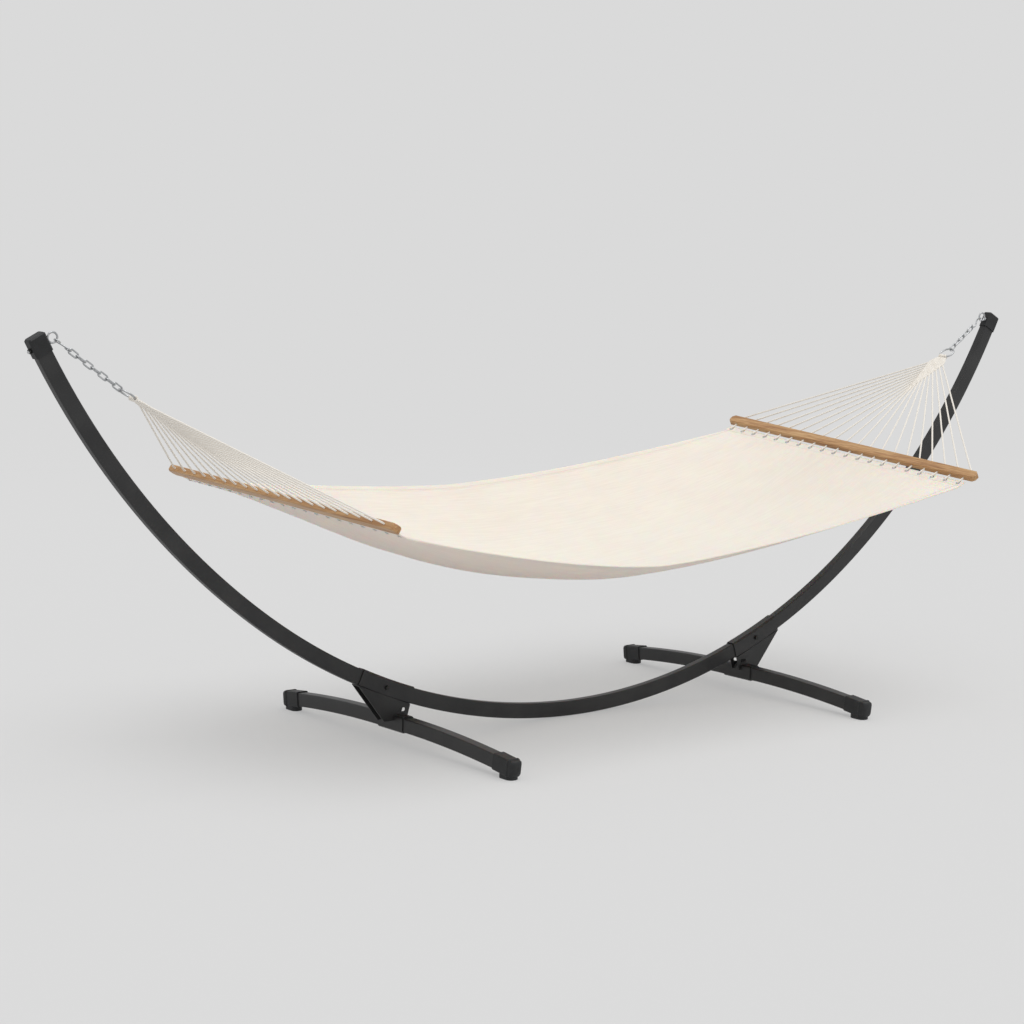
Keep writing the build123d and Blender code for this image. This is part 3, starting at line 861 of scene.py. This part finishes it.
# Hook, chain, ring and clew at each end
sling = {
    "chainAngle": 35.2,
    "fanAngle": 32.4,
    "hookNear": 6.7 * mm,
    "hookFarInner": 65.7 * mm,
    "hookLoop": 9.5 * mm,
    "hookTurn": 250,
    "linkWire": 5 * mm,
    "linkInner": 28.8 * mm,
    "linkGap": 0.3 * mm,
    "linkEndRadius": 7 * mm,
    "ringRadius": 26 * mm,
    "ringWire": 6 * mm,
    "cord": 6 * mm,
    "cordCount": 20,
    "cordPitch": 59 * mm,
    "cordBend": 5 * mm,
    "ringLoops": 5,
    "loopPitch": 13.8,  # a cord's width round the ring, in degrees
    "loopGap": 0.2 * mm,
    "fanLength": 611 * mm,
    "barWidth": 38 * mm,
    "bend": 6 * mm,
    "hemAngle": 26,
    "hemStart": 8 * mm,
    "hemWidth": 34 * mm,
    "hemDrop": 3.3 * mm,
    "eyeletFromEdge": 15 * mm,
    "cordTail": 7 * mm,
}
leaf = {
    "start": 31 * mm,
    "shoulder": 45 * mm,
    "length": 190 * mm,
    "halfNeck": 14 * mm,
    "halfWidth": 36 * mm,
    "halfTip": 5 * mm,
    "sink": 4 * mm,
    "body": 2.2 * mm,
    "relief": 2.4 * mm,
    "edge": 0.05 * mm,
    "weave": 6.4 * mm,
    "crossing": 0.35,
    "stations": 170,
    "columns": 60,
}
eyelet = {"hole": 4.2 * mm, "rim": 8 * mm, "proud": 0.9 * mm, "grip": 4.2 * mm, "sides": 20}


def makePlane(origin, xAxis, zAxis):
    return {"origin": origin, "x": xAxis, "y": zAxis.cross(xAxis), "z": zAxis}


def onPlane(plane, x, y, z=0.0):
    return plane["origin"] + plane["x"] * x + plane["y"] * y + plane["z"] * z


def makeHook(node, eye, along):
    wire = sling["linkWire"]
    loop = sling["hookLoop"]
    first = sling["hookNear"] + wire / 2 + loop
    second = sling["hookFarInner"] + wire / 2 - loop
    start = math.degrees(math.acos(2 * loop / (second - first)))
    end = start + sling["hookTurn"]
    across = Vector((0, 1, 0))
    near = arcPath(eye + along * first, along, across, loop, end, start, 30)
    far = arcPath(eye + along * second, -along, -across, loop, start, end, 30)
    shape = emptyShape()
    addTube(shape, near + far, wire / 2, 14)
    makePiece(node + "_finished", shape, finishes["zinc_steel"], "sling", [node])


def makeChain(node, eye, along, count):
    pitch = sling["linkInner"] - sling["linkGap"]
    radius = sling["linkEndRadius"]
    straight = sling["linkInner"] + sling["linkWire"] - 2 * radius
    shape = emptyShape()
    for number in range(count):
        middle = sling["hookFarInner"] - sling["linkGap"] + number * pitch + sling["linkInner"] / 2
        flat = Vector((0, 1, 0)) if number % 2 == 0 else along.cross(Vector((0, 1, 0)))
        across = flat.cross(along)
        centre = eye + along * middle
        path = arcPath(centre + along * straight / 2, along, across, radius, -90, 90, 12)
        path += arcPath(centre - along * straight / 2, along, across, radius, 90, 270, 12)
        addTube(shape, path, sling["linkWire"] / 2, 12, closed=True)
    makePiece(node + "_finished", shape, finishes["zinc_steel"], "sling", [node])


def leafHalfWidth(x):
    # narrow at the ring, widest at the shoulder, then tapering to the tip
    start = sling["ringRadius"]
    shoulder = start + leaf["shoulder"]
    if x < shoulder:
        share = math.sin((x - start) / leaf["shoulder"] * math.pi / 2)
        return leaf["halfNeck"] + (leaf["halfWidth"] - leaf["halfNeck"]) * share
    share = (x - shoulder) / (leaf["length"] - leaf["shoulder"])
    return leaf["halfWidth"] + (leaf["halfTip"] - leaf["halfWidth"]) * share


def weaveHeight(x, y):
    # plain weave of round cords: each square shows a cord along the leaf or across it
    column, along = divmod(x / leaf["weave"], 1.0)
    row, across = divmod(y / leaf["weave"], 1.0)
    over = int(column + row) % 2 == 0
    crown = across if over else along
    run = along if over else across
    low = leaf["crossing"]
    roundness = math.sqrt(max(0.0, 1 - (2 * crown - 1) ** 2))
    return roundness * (low + (1 - low) * math.sin(math.pi * run) ** 0.5)


def addLeaf(shape, plane):
    end = sling["ringRadius"] + leaf["length"]
    rings = []
    for station in range(leaf["stations"] + 1):
        x = leaf["start"] + (end - leaf["start"]) * station / leaf["stations"]
        half = leafHalfWidth(x)
        top = []
        bottom = []
        for column in range(leaf["columns"] + 1):
            share = 2 * column / leaf["columns"] - 1
            fullness = math.sqrt(max(0.0, 1 - share**2)) ** 0.5
            y = share * half
            rise = (leaf["body"] + leaf["relief"] * weaveHeight(x, y)) * fullness
            sink = (leaf["body"] + leaf["relief"] * weaveHeight(x + leaf["weave"], y)) * fullness
            top.append(onPlane(plane, x, y, rise + leaf["edge"]))
            bottom.append(onPlane(plane, x, y, -sink - leaf["edge"]))
        rings.append(top + bottom[::-1])
    addSkin(shape, rings)


def cordOffsets():
    middle = (sling["cordCount"] - 1) / 2
    return [(number - middle) * sling["cordPitch"] for number in range(sling["cordCount"])]


def makeClew(name, fanPlane, barPlane, hemPlane):
    offsets = cordOffsets()
    leafEnd = sling["ringRadius"] + leaf["length"]
    bendOut = sling["barWidth"] / 2 + sling["bend"]
    eyeletX = sling["hemStart"] + sling["eyeletFromEdge"]
    shape = emptyShape()
    for offset in offsets:
        share = (abs(offset) - sling["cordPitch"] / 2) / (offsets[-1] - sling["cordPitch"] / 2)
        leaveX = leafEnd - share * (leaf["length"] - leaf["shoulder"])
        leaveY = leaf["halfTip"] + share * (leaf["halfWidth"] - leaf["halfTip"]) - leaf["sink"]
        points = [
            onPlane(fanPlane, leaveX, math.copysign(leaveY, offset)),
            onPlane(barPlane, -bendOut, offset),
            onPlane(barPlane, bendOut, offset),
            onPlane(hemPlane, eyeletX, offset),
            onPlane(hemPlane, eyeletX, offset, -sling["hemDrop"] - sling["cordTail"]),
        ]
        addTube(shape, roundCorners(points, sling["cordBend"]), sling["cord"] / 2, 10)
    for loop in range(sling["ringLoops"]):
        angle = math.radians((loop - (sling["ringLoops"] - 1) / 2) * sling["loopPitch"])
        outward = fanPlane["x"] * math.cos(angle) + fanPlane["y"] * math.sin(angle)
        centre = fanPlane["origin"] + outward * sling["ringRadius"]
        reach = (sling["ringWire"] + sling["cord"]) / 2 + sling["loopGap"]
        circle = circlePath(centre, outward, fanPlane["z"], reach, 24)
        addTube(shape, circle, sling["cord"] / 2, 10, closed=True)
    finish = finishes["cotton_rope"]
    makePiece(f"clew_cords_{name}", shape, finish, "sling", [f"clew_{name}"])
    woven = emptyShape()
    addLeaf(woven, fanPlane)
    makePiece(f"clew_leaf_{name}", woven, finish, "sling", sharp=60)


def makeEyelets(name, hemPlane):
    eyeletX = sling["hemStart"] + sling["eyeletFromEdge"]
    hole = eyelet["hole"]
    rim = eyelet["rim"]
    proud = eyelet["proud"]
    grip = eyelet["grip"]
    section = [
        (hole, proud * 0.7),
        (hole, -grip - proud * 0.5),
        (hole + 0.5 * mm, -grip - proud),
        (rim - 0.8 * mm, -grip - proud * 0.6),
        (rim - 0.5 * mm, -grip),
        (hole + 0.6 * mm, -grip),
        (hole + 0.6 * mm, -0.1 * mm),
        (rim, -0.1 * mm),
        (rim - 0.4 * mm, proud * 0.7),
        (rim - 1.6 * mm, proud),
        (hole + 0.8 * mm, proud),
    ]
    shape = emptyShape()
    for offset in cordOffsets():
        rings = []
        for step in range(eyelet["sides"]):
            angle = 2 * math.pi * step / eyelet["sides"]
            ring = []
            for radius, height in section:
                x = eyeletX + radius * math.cos(angle)
                y = offset + radius * math.sin(angle)
                ring.append(onPlane(hemPlane, x, y, -sling["hemDrop"] + height))
            rings.append(ring)
        addSkin(shape, rings, closed=True)
    return makePiece(f"eyelets_{name}", shape, finishes["zinc_steel"], "sling")


def makeSlingEnd(name, side, links, lean):
    eye = makeEyeBolt(f"eye_bolt_{name}", side)
    chainAngle = math.radians(sling["chainAngle"])
    fanAngle = math.radians(sling["fanAngle"])
    along = Vector((-side * math.cos(chainAngle), 0, -math.sin(chainAngle)))
    fan = Vector((-side * math.cos(fanAngle), 0, -math.sin(fanAngle)))
    bar = Vector((0, math.cos(math.radians(lean)), math.sin(math.radians(lean))))
    normal = (bar.cross(fan) * side).normalized()
    makeHook(f"hook_{name}", eye, along)
    makeChain(f"chain_{name}", eye, along, links)
    pitch = sling["linkInner"] - sling["linkGap"]
    ringNear = sling["hookFarInner"] + links * pitch - sling["linkGap"] - sling["ringWire"] / 2
    ringCentre = eye + along * ringNear + fan * sling["ringRadius"]
    fanPlane = makePlane(ringCentre, fan, normal)
    ring = emptyShape()
    circle = circlePath(ringCentre, fan, fanPlane["y"], sling["ringRadius"], 60)
    addTube(ring, circle, sling["ringWire"] / 2, 14, closed=True)
    finish = finishes["zinc_steel"]
    node = f"clew_ring_{name}"
    makePiece(node + "_finished", ring, finish, "sling", [node])
    outward = (normal.cross(bar) * side).normalized()
    barPlane = makePlane(ringCentre + fan * sling["fanLength"], outward, normal)
    turn = math.radians(sling["fanAngle"] - sling["hemAngle"])
    bendOut = sling["barWidth"] / 2 + sling["bend"]
    hemPlane = makePlane(
        onPlane(barPlane, bendOut, 0),
        barPlane["x"] * math.cos(turn) + normal * math.sin(turn),
        normal * math.cos(turn) - barPlane["x"] * math.sin(turn),
    )
    makeClew(name, fanPlane, barPlane, hemPlane)
    eyelets = makeEyelets(name, hemPlane)
    end = onPlane(hemPlane, sling["hemStart"] + sling["hemWidth"], 0, -sling["hemDrop"])
    print(name, "end of the sling made")
    return {"hemPlane": hemPlane, "bar": bar, "lean": math.radians(lean), "point": end, "eyelets": eyelets}


leftEnd = makeSlingEnd("left", -1, 7, 2.0)
rightEnd = makeSlingEnd("right", 1, 5, 4.3)

# Canvas bed: hems at the bars, hemmed long edges, pulls at the eyelets and soft folds along it
bed = {
    "lowX": -150 * mm,
    "nearLow": 590 * mm,
    "farLow": 718 * mm,
    "edgePower": 1.5,
    "lowHalf": 560 * mm,
    "endHalf": 580 * mm,
    "belly": 150 * mm,
    "bellyPower": 3.4,
    "thickness": 1.5 * mm,
    "hemThickness": 3.6 * mm,
    "edgeHem": 22 * mm,
    "edgeRise": 0.9 * mm,
    "edgeSlope": 1.5 * mm,
    "pull": 2.4 * mm,
    "pullStart": 12 * mm,
    "pullReach": 90 * mm,
    "calmReach": 200 * mm,
    "fold": 6 * mm,
    "foldWaves": (1.3, 6.5),  # waves per metre along and across, for a noise that repeats nowhere
    "foldSeed": 2.7,
    "crease": 1.2 * mm,
    "creaseWaves": (5.0, 22.0),
    "creaseSeed": 8.1,
    "seam": 1.2 * mm,
    "hemStations": 6,
    "rows": 240,
    "columns": 132,
    "columnGap": 0.008,
}
stitch = {
    "spacing": 7 * mm,
    "length": 4.6 * mm,
    "radius": 0.5 * mm,
    "fromEdge": 17 * mm,
    "hemRows": (12 * mm, 38 * mm),
}


def bedPoint(x, share):
    # share runs from -1 at the near edge to 1 at the far edge
    span = rightEnd["point"].x - leftEnd["point"].x
    fromMiddle = abs(x - (rightEnd["point"].x + leftEnd["point"].x) / 2) / (span / 2)
    end = leftEnd if x < bed["lowX"] else rightEnd
    climb = ((x - bed["lowX"]) / (end["point"].x - bed["lowX"])) ** bed["edgePower"]
    levels = []
    for low, edge in ((bed["nearLow"], -bed["endHalf"]), (bed["farLow"], bed["endHalf"])):
        high = end["point"].z + edge * math.sin(end["lean"])
        levels.append(low + (high - low) * climb)
    half = bed["lowHalf"] + (bed["endHalf"] * math.cos(end["lean"]) - bed["lowHalf"]) * fromMiddle**2
    level = levels[0] + (levels[1] - levels[0]) * (share + 1) / 2
    level -= bed["belly"] * (1 - min(fromMiddle, 1.0) ** bed["bellyPower"]) * (1 - share**2)
    return Vector((x, share * half, level))


def wrinkle(x, share):
    y = share * bed["endHalf"]
    toHem = max(0.0, min(x - leftEnd["point"].x, rightEnd["point"].x - x))
    pull = -bed["pull"] * math.cos(2 * math.pi * y / sling["cordPitch"])
    pull *= math.exp(-toHem / bed["pullReach"]) * (1 - math.exp(-toHem / bed["pullStart"]))
    calm = min(1.0, toHem / bed["calmReach"]) * (1 - share**8)
    height = 0.0
    for name in ("fold", "crease"):
        along, across = bed[name + "Waves"]
        height += bed[name] * noise.noise(Vector((x * along, y * across, bed[name + "Seed"])))
    return pull + height * calm


def edgeRise(share):
    fromEdge = (1 - abs(share)) * bed["lowHalf"]
    return bed["edgeRise"] * min(1.0, max(0.0, (bed["edgeHem"] - fromEdge) / bed["edgeSlope"]))


def bedNormal(x, share):
    step = 4 * mm
    lengthwise = bedPoint(x + step, share) - bedPoint(x - step, share)
    sideways = bedPoint(x, share + step) - bedPoint(x, share - step)
    return lengthwise.cross(sideways).normalized()


def bedSurface(x, share):
    return bedPoint(x, share) + bedNormal(x, share) * (wrinkle(x, share) + edgeRise(share))


def hemSurface(end, along, share):
    return onPlane(end["hemPlane"], along, 0, -sling["hemDrop"]) + end["bar"] * (share * bed["endHalf"])


def columnShares():
    # extra columns where the hem of a long edge steps down to the single cloth
    hem = bed["edgeHem"]
    fromEdge = [0.0, bed["edgeSlope"], 10 * mm, hem - bed["edgeSlope"], hem]
    outer = [1 - distance / bed["lowHalf"] for distance in fromEdge]
    inner = outer[-1] - bed["columnGap"]
    middle = [inner * (2 * step / bed["columns"] - 1) for step in range(bed["columns"] + 1)]
    return [-share for share in outer] + middle + outer[::-1]


def makeBed():
    shares = columnShares()
    count = bed["hemStations"]
    hemStations = [sling["hemStart"] + sling["hemWidth"] * step / count for step in range(count + 1)]
    leftX = leftEnd["point"].x
    rightX = rightEnd["point"].x
    bedStations = [leftX + (rightX - leftX) * step / bed["rows"] for step in range(1, bed["rows"])]
    bedStations = [leftX + bed["seam"]] + bedStations + [rightX - bed["seam"]]
    hems = []
    for end in (leftEnd, rightEnd):
        through = end["hemPlane"]["z"] * bed["hemThickness"]
        rows = []
        for station in hemStations:
            row = [hemSurface(end, station, share) for share in shares]
            rows.append(row + [point - through for point in reversed(row)])
        hems.append(rows)
    rings = hems[0]
    for x in bedStations:
        row = []
        under = []
        for share in shares:
            normal = bedNormal(x, share)
            rise = edgeRise(share)
            point = bedPoint(x, share) + normal * (wrinkle(x, share) + rise)
            row.append(point)
            under.append(point - normal * (bed["thickness"] + 2 * rise))
        rings.append(row + under[::-1])
    rings += hems[1][::-1]
    shape = emptyShape()
    addSkin(shape, rings)
    shape["uvs"] = []
    return makePiece("canvas_sheet", shape, finishes["canvas"], "sling", ["canvas_bed"], sharp=50)


def addStitch(shape, start, end, normal):
    dip = normal * stitch["radius"] * 1.2
    rise = normal * stitch["radius"] * 0.6
    inward = (end - start) * 0.2
    path = [start - dip, start + inward + rise, end - inward + rise, end - dip]
    addTube(shape, path, stitch["radius"], 6)


def makeStitching():
    shape = emptyShape()
    edge = 1 - stitch["fromEdge"] / bed["lowHalf"]
    leftX = leftEnd["point"].x
    rightX = rightEnd["point"].x
    for share in (-edge, edge):
        for number in range(int((rightX - leftX) / stitch["spacing"])):
            x = leftX + number * stitch["spacing"]
            normal = bedNormal(x, share)
            addStitch(shape, bedSurface(x, share), bedSurface(x + stitch["length"], share), normal)
    for end in (leftEnd, rightEnd):
        for row in stitch["hemRows"]:
            count = int(2 * bed["endHalf"] / stitch["spacing"])
            for number in range(count):
                share = (number + 0.3) * 2 / count - 1
                start = hemSurface(end, row, share)
                addStitch(shape, start, start + end["bar"] * stitch["length"], end["hemPlane"]["z"])
    shape["uvs"] = []
    return makePiece("canvas_stitching", shape, thread, "sling", sharp=80)


sheet = makeBed()
stitching = makeStitching()
print("canvas made")

# Pale floor that fades into the background, with a soft sun from the right and an even sky
studio = {
    "backdrop": "#dadada",
    "floor": "#dadada",
    "floorHalf": 14.0,
    "shadowShare": 0.5,
    "fadeStart": 4.0,
    "fadeEnd": 10.0,
    "sky": 0.62,
    "sun": 1.35,
    "sunAngle": 60,
    "sunSide": 0.27,
    "sunFront": 0.15,
}
# Camera of the photograph: its place and axes were fitted to the edges of the stand
view = {
    "location": Vector((-5.2169, -6.0214, 1.7392)),
    "right": Vector((0.77671, -0.62940, 0.02418)),
    "up": Vector((0.0648, 0.1181, 0.9909)),
    "forward": Vector((0.62652, 0.76807, -0.13247)),
    "lens": 85.48,
    "sensor": 36.0,
}


def addSeenRays(tree):
    # 1 for a ray that the camera sees by, straight or in a mirror or glass, and 0 for one that only lights
    rays = addNode(tree, "ShaderNodeLightPath")
    seen = rays.outputs["Is Camera Ray"]
    for kind in ("Is Glossy Ray", "Is Transmission Ray"):
        either = addNode(
            tree, "ShaderNodeMath", {"operation": "MAXIMUM"}, links={0: seen, 1: rays.outputs[kind]}
        )
        seen = either.outputs[0]
    return seen


def makeFloor():
    half = studio["floorHalf"]
    mesh = bpy.data.meshes.new("floor")
    corners = [(-half, -half, 0), (half, -half, 0), (half, half, 0), (-half, half, 0)]
    mesh.from_pydata(corners, [], [(0, 1, 2, 3)])
    floor = bpy.data.objects.new("floor", mesh)
    bpy.context.scene.collection.objects.link(floor)
    # seen by the camera, or in metal, it is the backdrop's colour with a softened shadow on it
    material = bpy.data.materials.new("paperSweep")
    material.use_nodes = True
    tree = material.node_tree
    tree.nodes.clear()
    lit = addNode(tree, "ShaderNodeBsdfDiffuse", values={"Color": toLinear(studio["floor"])})
    plain = addNode(
        tree, "ShaderNodeEmission", values={"Color": toLinear(studio["backdrop"]), "Strength": 1.0}
    )
    lift = addNode(
        tree,
        "ShaderNodeMath",
        {"operation": "MULTIPLY"},
        {1: 1 - studio["shadowShare"]},
        {0: addSeenRays(tree)},
    )
    seen = addNode(
        tree, "ShaderNodeMixShader", links={0: lift.outputs[0], 1: lit.outputs[0], 2: plain.outputs[0]}
    )
    place = addNode(tree, "ShaderNodeTexCoord").outputs["Object"]
    distance = addNode(tree, "ShaderNodeVectorMath", {"operation": "LENGTH"}, links={0: place})
    fade = addNode(
        tree,
        "ShaderNodeMapRange",
        {"interpolation_type": "SMOOTHSTEP"},
        {"From Min": studio["fadeStart"], "From Max": studio["fadeEnd"]},
        {"Value": distance.outputs["Value"]},
    )
    clear = addNode(tree, "ShaderNodeBsdfTransparent")
    mixed = addNode(
        tree, "ShaderNodeMixShader", links={0: fade.outputs[0], 1: seen.outputs[0], 2: clear.outputs[0]}
    )
    addNode(tree, "ShaderNodeOutputMaterial", links={"Surface": mixed.outputs[0]})
    mesh.materials.append(material)


def makeSky():
    world = bpy.data.worlds.new("studioSky")
    bpy.context.scene.world = world
    world.use_nodes = True
    tree = world.node_tree
    tree.nodes.clear()
    light = addNode(
        tree, "ShaderNodeBackground", values={"Color": (1.0, 1.0, 1.0, 1.0), "Strength": studio["sky"]}
    )
    shown = addNode(
        tree, "ShaderNodeBackground", values={"Color": toLinear(studio["backdrop"]), "Strength": 1.0}
    )
    mixed = addNode(
        tree, "ShaderNodeMixShader", links={0: addSeenRays(tree), 1: light.outputs[0], 2: shown.outputs[0]}
    )
    addNode(tree, "ShaderNodeOutputWorld", links={"Surface": mixed.outputs[0]})


def makeSun():
    lamp = bpy.data.lights.new("softSun", "SUN")
    lamp.energy = studio["sun"]
    lamp.angle = math.radians(studio["sunAngle"])
    sun = bpy.data.objects.new("softSun", lamp)
    bpy.context.scene.collection.objects.link(sun)
    towards = view["right"] * studio["sunSide"] - view["forward"] * studio["sunFront"] + Vector((0, 0, 1))
    sun.rotation_euler = towards.to_track_quat("Z", "Y").to_euler()


def makeCamera():
    lens = bpy.data.cameras.new("camera")
    lens.lens = view["lens"]
    lens.sensor_width = view["sensor"]
    lens.sensor_fit = "HORIZONTAL"
    lens.clip_end = 100.0
    camera = bpy.data.objects.new("camera", lens)
    bpy.context.scene.collection.objects.link(camera)
    turn = Matrix((view["right"], view["up"], -view["forward"])).transposed()
    camera.matrix_world = Matrix.Translation(view["location"]) @ turn.to_4x4()
    bpy.context.scene.camera = camera


makeFloor()
makeSky()
makeSun()
makeCamera()
bpy.context.scene.view_settings.view_transform = "Standard"
print("studio made")
